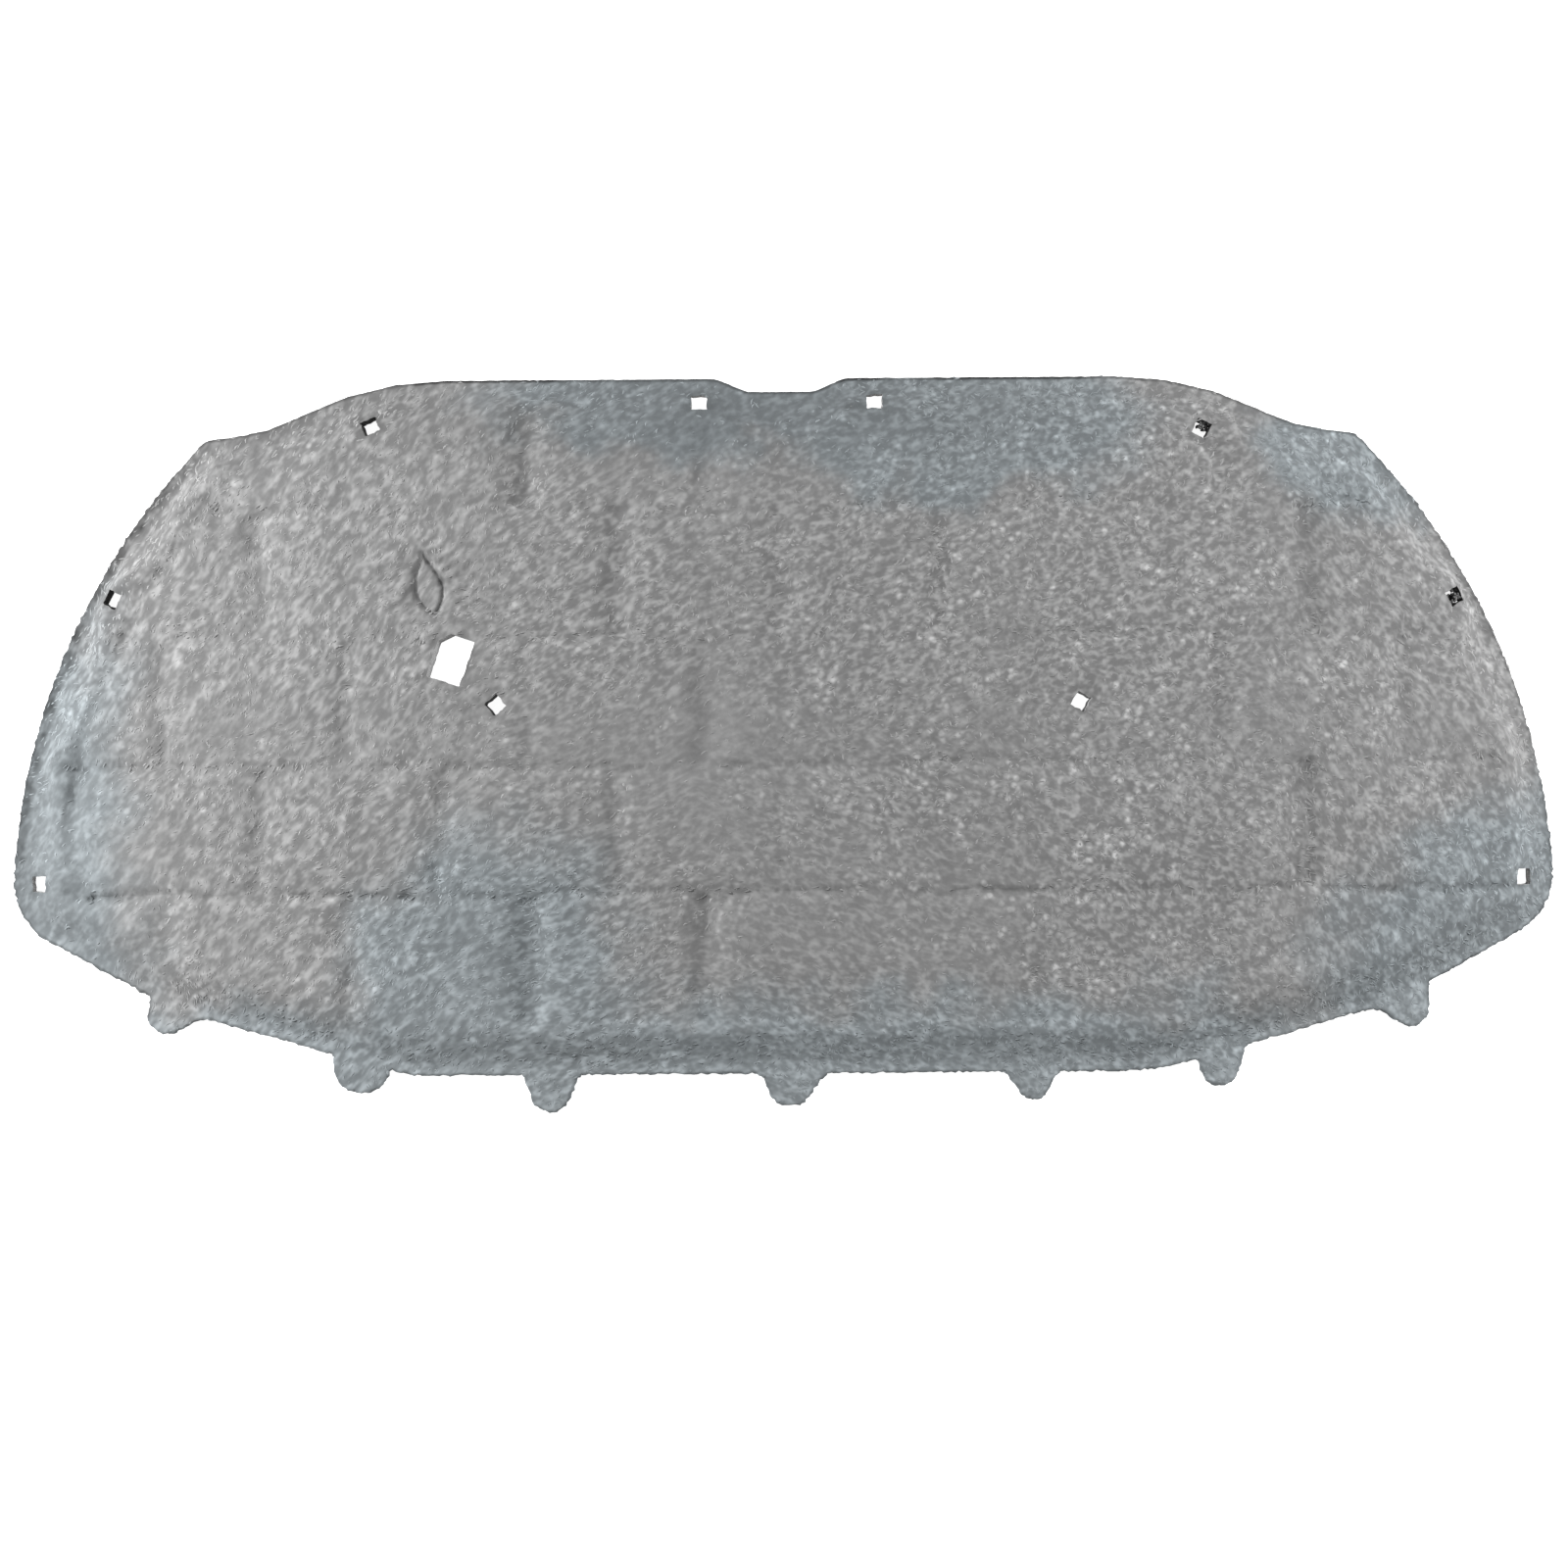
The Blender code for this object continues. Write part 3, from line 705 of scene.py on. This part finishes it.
bm.normal_update()
distance_layer = layers["rim_distance"]
for face in bm.faces:
    face.smooth = abs(face.normal.z) > UPWARD
    upright = abs(face.normal.z) < WALL_LEAN
    if upright and min(vert[distance_layer] for vert in face.verts) > HOLE_INSET / MM:
        middle = face.calc_center_median().xy - Vector((0, TOP_EDGE))
        # Walls of these holes get the near-black copy, painted shade.
        dark = any((middle - hole).length < SHADED_HOLE_REACH for hole in SHADED_HOLES)
        face.material_index = 1 + dark
mat_mesh = bpy.data.meshes.new("felt_mat")
bm.to_mesh(mat_mesh)
mat_mesh.calc_loop_triangles()
print("mat triangles", len(mat_mesh.loop_triangles))
bm.free()
felt_mat = add_object("felt_mat", mat_mesh)
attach(felt_mat, "root")
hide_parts("insulation_pad")

# %% [markdown]
# ## Sweep of the fibres
# Fibres lie every way in the felt, and those that lie across the light shine, so the pale strokes run in
# sweeps: steep at the left end, level in the middle and falling away at the right end. The angle is given
# at a few stops across the pad, in an upper and a lower row, and is blended between them. The felt's pale
# streaks follow it as painted sheen on its fibre texture, and the loose fibres on top are laid along it
# too.

# %% Which way the fibres lie
SWEEP_STOPS = [place * MM for place in (-520, -340, -150, 60, 300, 520)]
SWEEP_ROWS = [-170 * MM, -420 * MM]
SWEEP_TURNS = [
    (58, 55, 32, 20, 12, -52),
    (52, 45, 22, -18, -24, -64),
]


def fibre_turn(x, y):
    """Angle of the sweep at a place on the drawing."""
    upper, lower = (np.interp(x, SWEEP_STOPS, turns) for turns in SWEEP_TURNS)
    return math.radians(np.interp(-y, [-row for row in SWEEP_ROWS], [upper, lower]))


print("sweep", [round(math.degrees(fibre_turn(x * MM, -300 * MM))) for x in range(-600, 601, 200)])

# %% [markdown]
# ## Felt
# The mat is shoddy: shredded grey textile, mostly polyester and cotton, carded into a web and needled.
# Loose fibres scatter light, so the felt is matte with no clear highlight. Its grey drifts between a
# neutral and a bluish tone. The bluish parts are soft
# ovals here, placed in millimetres on the drawing and roughened at their edges.

# %% Grey of the shreds
NEUTRAL = "#8A8A8A"
BLUISH = "#848A8D"
ZONE_START = 0.75
ZONE_END = 1.3
DRIFT_SIZE = 55 * MM
DRIFT = 90 * MM
COOL_ZONES = [
    (-645, -400, 120, 290, 0),
    (-240, -505, 112, 142, -10),
    (0, -585, 900, 84, 0),
    (605, -470, 175, 120, 25),
    (-65, -15, 170, 46, 0),
    (140, -35, 155, 62, 0),
    (465, -55, 78, 66, 0),
]


def soft_zone(tree, place, zone):
    """A mask that is 1 inside a turned oval on the drawing and fades out past its edge. Sizes are in mm."""
    across, down, half_width, half_height, turn = zone
    mapped = add_node(tree, "ShaderNodeMapping", {"vector_type": "TEXTURE"}, {
        "Vector": place, "Location": (across * MM, TOP_EDGE + down * MM, 0),
        "Rotation": (0, 0, math.radians(turn)), "Scale": (half_width * MM, half_height * MM, 1)})
    flat = add_node(tree, "ShaderNodeVectorMath", {"operation": "MULTIPLY"}, {
        0: mapped.outputs[0], 1: (1, 1, 0)})
    reach = add_node(tree, "ShaderNodeVectorMath", {"operation": "LENGTH"}, {0: flat.outputs[0]})
    return between(tree, reach.outputs["Value"], ZONE_END, ZONE_START, 0.0, 1.0, "SMOOTHSTEP")


def shred_grey(tree, place):
    """The ground colour, neutral with bluish zones."""
    drift = add_node(tree, "ShaderNodeTexNoise", {}, {
        "Vector": place, "Scale": 1 / DRIFT_SIZE, "Detail": 2.0})
    pushed = add_node(tree, "ShaderNodeVectorMath", {"operation": "MULTIPLY_ADD"}, {
        0: drift.outputs["Color"], 1: (DRIFT, DRIFT, 0), 2: place})
    centred = add_node(tree, "ShaderNodeVectorMath", {"operation": "SUBTRACT"}, {
        0: pushed.outputs[0], 1: (DRIFT / 2, DRIFT / 2, 0)})
    cool = most_of(tree, [soft_zone(tree, centred.outputs[0], zone) for zone in COOL_ZONES])
    ground = add_node(tree, "ShaderNodeMix", {"data_type": "RGBA"}, {
        "Factor": cool, 6: linear(NEUTRAL), 7: linear(BLUISH)})
    return ground.outputs[2]


# %% [markdown]
# The streaks of the felt are one noise, stretched along the sweep. Their pale strokes are partly the felt's
# real fibre texture and partly painted sheen, where fibres lie across the light. A noise can be turned but
# not bent, so several turned copies stand side by side, each fading into the next, and the eye takes them
# for one sweep.

# %% Streaks along the sweep
STREAK_WIDTH = 5.4 * MM
STREAK_STRETCH = (2.0, 2.0, 1.8, 1.5, 1.25, 1.4)
STREAK_APART = 37 * MM
SWIRL = 10 * MM
SWIRL_SIZE = 40 * MM
ROW_FADE = 80 * MM


def streak_row(tree, place, row_index):
    """Streaks that follow one row of the sweep across the pad."""
    across = add_node(tree, "ShaderNodeSeparateXYZ", {}, {0: place}).outputs["X"]
    streaks = None
    before = None
    for index, (stop, stretch) in enumerate(zip(SWEEP_STOPS, STREAK_STRETCH)):
        turned = add_node(tree, "ShaderNodeMapping", {"vector_type": "TEXTURE"}, {
            "Vector": place, "Location": (0, 0, (index + 7 * row_index) * STREAK_APART),
            "Rotation": (0, 0, math.radians(SWEEP_TURNS[row_index][index])),
            "Scale": (stretch * STREAK_WIDTH, STREAK_WIDTH, STREAK_WIDTH)})
        layer = add_node(tree, "ShaderNodeTexNoise", {}, {
            "Vector": turned.outputs[0], "Scale": 1.0, "Detail": 1.0, "Roughness": 0.6}).outputs["Fac"]
        if streaks is None:
            streaks = layer
        else:
            hold = 0.3 * (stop - before)
            share = between(tree, across, before + hold, stop - hold, 0, 1)
            streaks = blend(tree, share, streaks, layer)
        before = stop
    return streaks


def sweep_streaks(tree, place):
    """Streaks that follow the whole sweep, blended from its two rows and wavering a little."""
    swirl = add_node(tree, "ShaderNodeTexNoise", {}, {
        "Vector": place, "Scale": 1 / SWIRL_SIZE, "Detail": 1.0})
    pushed = add_node(tree, "ShaderNodeVectorMath", {"operation": "MULTIPLY_ADD"}, {
        0: swirl.outputs["Color"], 1: (SWIRL, SWIRL, 0), 2: place}).outputs[0]
    down = add_node(tree, "ShaderNodeSeparateXYZ", {}, {0: place}).outputs["Y"]
    upper, lower = (TOP_EDGE + row for row in SWEEP_ROWS)
    share = between(tree, down, upper - ROW_FADE, lower + ROW_FADE, 0, 1)
    return blend(tree, share, streak_row(tree, pushed, 0), streak_row(tree, pushed, 1))


# %% [markdown]
# The felt's tone is a product of several patterns: the streaks, whose pale strokes are partly painted
# sheen, pale balls of loose fibre about 4 mm wide, fine grain, broad clouds, the painted shade line along
# the rim and the painted light and shade over the face. The same streaks, balls and grain also raise the
# surface a little, for the light to catch. The grain of real felt is too fine to show from here, so it is
# drawn 2.4 mm coarse.

# %% Needled felt
CALM_TONE = 1.06
CALM_SHARE = 0.35
BALL_SPACING = 7.5 * MM
GRAIN_SIZE = 2.4 * MM
CLOUD_SIZE = 16 * MM
BUMP_HEIGHT = 0.8 * MM
BUMP_STRENGTH = 0.11

felt, tree = bare_material("needled_grey_felt")
place = add_node(tree, "ShaderNodeTexCoord").outputs["Object"]
rim, rim_shade, painted_light_and_shade, loose, calm = (
    add_node(tree, "ShaderNodeAttribute", {"attribute_name": name}).outputs["Fac"] for name in LAYER_NAMES)
calm = product(tree, [calm, CALM_SHARE])
streaks = sweep_streaks(tree, place)
balls = add_node(tree, "ShaderNodeTexVoronoi", {"feature": "F1"}, {
    "Vector": place, "Scale": 1 / BALL_SPACING}).outputs["Distance"]
fine = add_node(tree, "ShaderNodeTexNoise", {}, {
    "Vector": place, "Scale": 1 / GRAIN_SIZE, "Detail": 1.0, "Roughness": 0.6}).outputs["Fac"]
broad = add_node(tree, "ShaderNodeTexNoise", {}, {
    "Vector": place, "Scale": 1 / CLOUD_SIZE, "Detail": 2.0}).outputs["Fac"]
specks = product(tree, [between(tree, balls, 0.48, 0.12, 0.0, 1.0, "SMOOTHSTEP"), loose])
# The rim line is painted shade along the outline.
rim_shade_line = product(tree, [between(tree, rim, 0.7, 3.6, 1.0, 0.0, "SMOOTHSTEP"), rim_shade])
# The streak tone is partly painted sheen; the rim line and the last factor are painted light and shade.
tone = product(tree, [
    blend(tree, calm, between(tree, streaks, 0.35, 0.8, 0.8, 1.6, "SMOOTHSTEP"), CALM_TONE),
    between(tree, fine, 0.3, 0.7, 0.97, 1.03),
    between(tree, broad, 0.3, 0.7, 0.95, 1.05),
    between(tree, specks, 0.0, 1.0, 0.95, 1.6),
    between(tree, rim_shade_line, 0.0, 1.0, 1.0, 0.0),
    between(tree, painted_light_and_shade, -0.2, 1.0, 1.2, 0.0),
])
colour = add_node(tree, "ShaderNodeVectorMath", {"operation": "SCALE"}, {
    0: shred_grey(tree, place), "Scale": tone})
height = add_node(tree, "ShaderNodeMath", {"operation": "MULTIPLY_ADD"}, {0: streaks, 1: 3.0, 2: fine})
height = add_node(tree, "ShaderNodeMath", {"operation": "ADD"}, {0: height.outputs[0], 1: specks})
bump = add_node(tree, "ShaderNodeBump", {}, {
    "Height": height.outputs[0], "Strength": BUMP_STRENGTH, "Distance": BUMP_HEIGHT})
shader = add_node(tree, "ShaderNodeBsdfPrincipled", {}, {
    "Base Color": colour.outputs[0], "Roughness": 0.95, "Specular IOR Level": 0.2,
    "Sheen Weight": 0.1, "Normal": bump.outputs[0]})
add_node(tree, "ShaderNodeOutputMaterial", {}, {"Surface": shader.outputs[0]})
felt_mat.data.materials.append(felt)
print("felt", len(tree.nodes), "nodes")

# %% [markdown]
# A blade leaves the ends of the fibres standing, so cut felt is matte and evenly speckled, without any
# streaks. It comes in two painted copies: a paler one, painted light where light falls into the hole, and a
# nearly black one, painted shade where none does.

# %% Cut felt inside the holes
CUT_GRAIN = 1.5 * MM
# The first copy is painted light, the second painted shade.
CUT_TONES = (("cut_felt", "#9A9A9A", "#BCBCBC"), ("painted_shade_cut_felt", "#161616", "#3A3A3A"))

for name, dark_tone, pale_tone in CUT_TONES:
    cut_felt, tree = bare_material(name)
    place = add_node(tree, "ShaderNodeTexCoord").outputs["Object"]
    grain = add_node(tree, "ShaderNodeTexNoise", {}, {
        "Vector": place, "Scale": 1 / CUT_GRAIN}).outputs["Fac"]
    colour = add_node(tree, "ShaderNodeMix", {"data_type": "RGBA"}, {
        "Factor": grain, 6: linear(dark_tone), 7: linear(pale_tone)})
    shader = add_node(tree, "ShaderNodeBsdfPrincipled", {}, {
        "Base Color": colour.outputs[2], "Roughness": 0.95})
    add_node(tree, "ShaderNodeOutputMaterial", {}, {"Surface": shader.outputs[0]})
    felt_mat.data.materials.append(cut_felt)
print("materials of the mat", [material.name for material in felt_mat.data.materials])

# %% [markdown]
# ## Loose fibres
# Loose fibres and small clumps of them lie on the face and catch the light. Polyester is a little
# glossier than the felt below, and bare fibre ends look paler. A single fibre is finer than a hair and
# would not show, so each sliver here stands for a bundle and is drawn 1.4 to 3 mm wide. It is short and
# bent, flat underneath and low-roofed, and half sunk into the felt.

# %% Loose polyester fibre
loose_fibre, tree = bare_material("loose_polyester_fibre")
place = add_node(tree, "ShaderNodeTexCoord").outputs["Object"]
own_tone = add_node(tree, "ShaderNodeAttribute", {"attribute_name": "fibre_tone"}).outputs["Fac"]
colour = add_node(tree, "ShaderNodeVectorMath", {"operation": "SCALE"}, {
    0: shred_grey(tree, place), "Scale": own_tone})
shader = add_node(tree, "ShaderNodeBsdfPrincipled", {}, {
    "Base Color": colour.outputs[0], "Roughness": 0.85, "Specular IOR Level": 0.3})
add_node(tree, "ShaderNodeOutputMaterial", {}, {"Surface": shader.outputs[0]})
print("loose fibre", len(tree.nodes), "nodes")

# %% [markdown]
# A curve with a flat profile makes thousands of slivers at once. The curve is then turned into a mesh,
# and each sliver gets a tone of its own.

# %% Make slivers
FIBRE_POINTS = 3
SLIVER_ROOF = 0.2
SLIVER_END = 0.35
SKIN = BVHTree.FromObject(felt_mat, bpy.context.evaluated_depsgraph_get())
DOWN = Vector((0, 0, -1))
ABOVE = 0.05


def surface_height(x, y):
    """Height of the mat under a point, or None past its edge and over a hole."""
    hit = SKIN.ray_cast(Vector((x, y, ABOVE)), DOWN)[0]
    return hit.z if hit and hit.z > RIM_LOW else None


def sliver_profile():
    """Cross-section of a sliver: a low roof over a flat foot, one unit wide."""
    curve = bpy.data.curves.new("sliver_profile", "CURVE")
    spline = curve.splines.new("POLY")
    spline.points.add(2)
    spline.points.foreach_set("co", [-0.5, 0, 0, 1, 0.5, 0, 0, 1, 0, SLIVER_ROOF, 0, 1])
    spline.use_cyclic_u = True
    return add_object("sliver_profile", curve)


def make_slivers(name, slivers):
    """One mesh of many slivers. Each is given as its points, its width and its tone."""
    profile = sliver_profile()
    curve = bpy.data.curves.new(name, "CURVE")
    curve.dimensions = "3D"
    curve.twist_mode = "Z_UP"
    curve.bevel_mode = "OBJECT"
    curve.bevel_object = profile
    curve.use_fill_caps = True
    for points, wide, _ in slivers:
        spline = curve.splines.new("POLY")
        spline.points.add(FIBRE_POINTS - 1)
        spline.points.foreach_set("co", [value for point in points for value in (*point, 1.0)])
        spline.points.foreach_set("radius", [SLIVER_END * wide, wide, SLIVER_END * wide])
        spline.use_smooth = True
    shape = add_object(name + "_curve", curve)
    bpy.context.view_layer.update()
    mesh = bpy.data.meshes.new_from_object(shape.evaluated_get(bpy.context.evaluated_depsgraph_get()))
    bpy.data.objects.remove(shape)
    bpy.data.objects.remove(profile)
    mesh.name = name
    shades = np.repeat([tone for _, _, tone in slivers], len(mesh.vertices) // len(slivers))
    mesh.attributes.new("fibre_tone", "FLOAT", "POINT").data.foreach_set("value", shades.astype(np.float32))
    mesh.calc_loop_triangles()
    print(name, len(slivers), "slivers", len(mesh.loop_triangles), "triangles")
    mesh.materials.clear()
    mesh.materials.append(loose_fibre)
    fibres = add_object(name, mesh)
    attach(fibres, "root")


# %% [markdown]
# Slivers are scattered over the face at random, more of them where the felt is clumped and fewer where it
# is calm. Each follows the sweep with some scatter, which grows towards the right end. The ends sink
# deeper into the felt than the middle, so no end stands clear of it.

# %% Lay the fibres on the face
WANDER_FIBRE = 40 * MM
END_SINK = 0.16
MIDDLE_SINK = 0.08
BEND = 0.3


def lay_sliver(x, y, turn, step, bend, wide):
    """Points of one sliver along the face, or None where it would run over an edge."""
    points = []
    for index in range(FIBRE_POINTS):
        z = surface_height(x, y)
        if z is None:
            return None
        sunk = END_SINK if index in (0, FIBRE_POINTS - 1) else MIDDLE_SINK
        points.append((x, y, z - sunk * wide))
        x += step * math.cos(turn)
        y += step * math.sin(turn)
        turn += bend
    return points


def lay_fibres(name, count, length, width, scatter, tones, clumping, seed):
    """Many slivers along the sweep, most of them in clumps. Length, width and tones are (least, most)."""
    draw = random.Random(seed)
    slivers = []
    while len(slivers) < count:
        x = draw.uniform(pad_low.x, pad_high.x)
        y = draw.uniform(pad_low.y, pad_high.y)
        clump = noise.noise((x / CLUMP_SIZE, (y - TOP_EDGE) / CLUMP_SIZE, CLUMP_PLACE))
        calm = calm_field(np.array([x]), np.array([y - TOP_EDGE]))[0]
        if draw.random() > (0.6 + clumping * clump) * (1 - 0.75 * calm):
            continue
        wander = 0.9 * noise.noise((x / WANDER_FIBRE, y / WANDER_FIBRE, 9.5))
        loosened = scatter * (1 + 1.2 * min(max(x / 0.25 + 1, 0), 1))
        turn = fibre_turn(x, y - TOP_EDGE) + draw.gauss(0, loosened) + wander
        wide = draw.uniform(*width)
        step = draw.uniform(*length) / (FIBRE_POINTS - 1)
        points = lay_sliver(x, y, turn, step, draw.gauss(0, BEND), wide)
        if points:
            slivers.append((points, wide, draw.uniform(*tones)))
    make_slivers(name, slivers)


lay_fibres("face_fibres", 10500, (6 * MM, 12 * MM), (1.4 * MM, 2.4 * MM), 0.3, (0.96, 1.2), 0.4, 11)
lay_fibres("pale_fibres", 8000, (5 * MM, 9 * MM), (1.6 * MM, 3.0 * MM), 0.4, (1.08, 1.5), 1.4, 12)

# %% [markdown]
# The die did not cut two of the clip holes on the right clean. Tufts of torn felt still fill most of
# them. Their darker tones are painted shade.

# %% Torn felt in two holes
TEAR_SPREAD = 2.2 * MM
TEAR_STEP = (0.8 * MM, 1.8 * MM)
TEAR_HEIGHT = (3.5 * MM, 9.5 * MM)
TEAR_WIDTH = (2.2 * MM, 3.4 * MM)
# Darker tones than the face: painted shade.
TEAR_SHADE_TONES = (0.35, 0.9)
TEAR_SLOPE = 0.3


def fill_hole(across, down, lean, count, seed):
    """Slivers of torn felt inside a hole, most of them on one side of it, with tones darkened as painted
    shade.
    """
    draw = random.Random(seed)
    slivers = []
    for _ in range(count):
        x = across + lean[0] + draw.gauss(0, TEAR_SPREAD)
        y = TOP_EDGE + down + lean[1] + draw.gauss(0, TEAR_SPREAD)
        turn = draw.uniform(0, math.tau)
        step = Vector((math.cos(turn), math.sin(turn), draw.uniform(-TEAR_SLOPE, TEAR_SLOPE)))
        step *= draw.uniform(*TEAR_STEP)
        start = Vector((x, y, draw.uniform(*TEAR_HEIGHT)))
        points = [(start + step * index)[:] for index in (-1, 0, 1)]
        slivers.append((points, draw.uniform(*TEAR_WIDTH), draw.uniform(*TEAR_SHADE_TONES)))
    return slivers


torn = fill_hole(340 * MM, -43 * MM, (2.5 * MM, 2 * MM), 48, 31)
torn += fill_hole(542 * MM, -182 * MM, (2.3 * MM, 0.4 * MM), 70, 32)
make_slivers("torn_felt", torn)
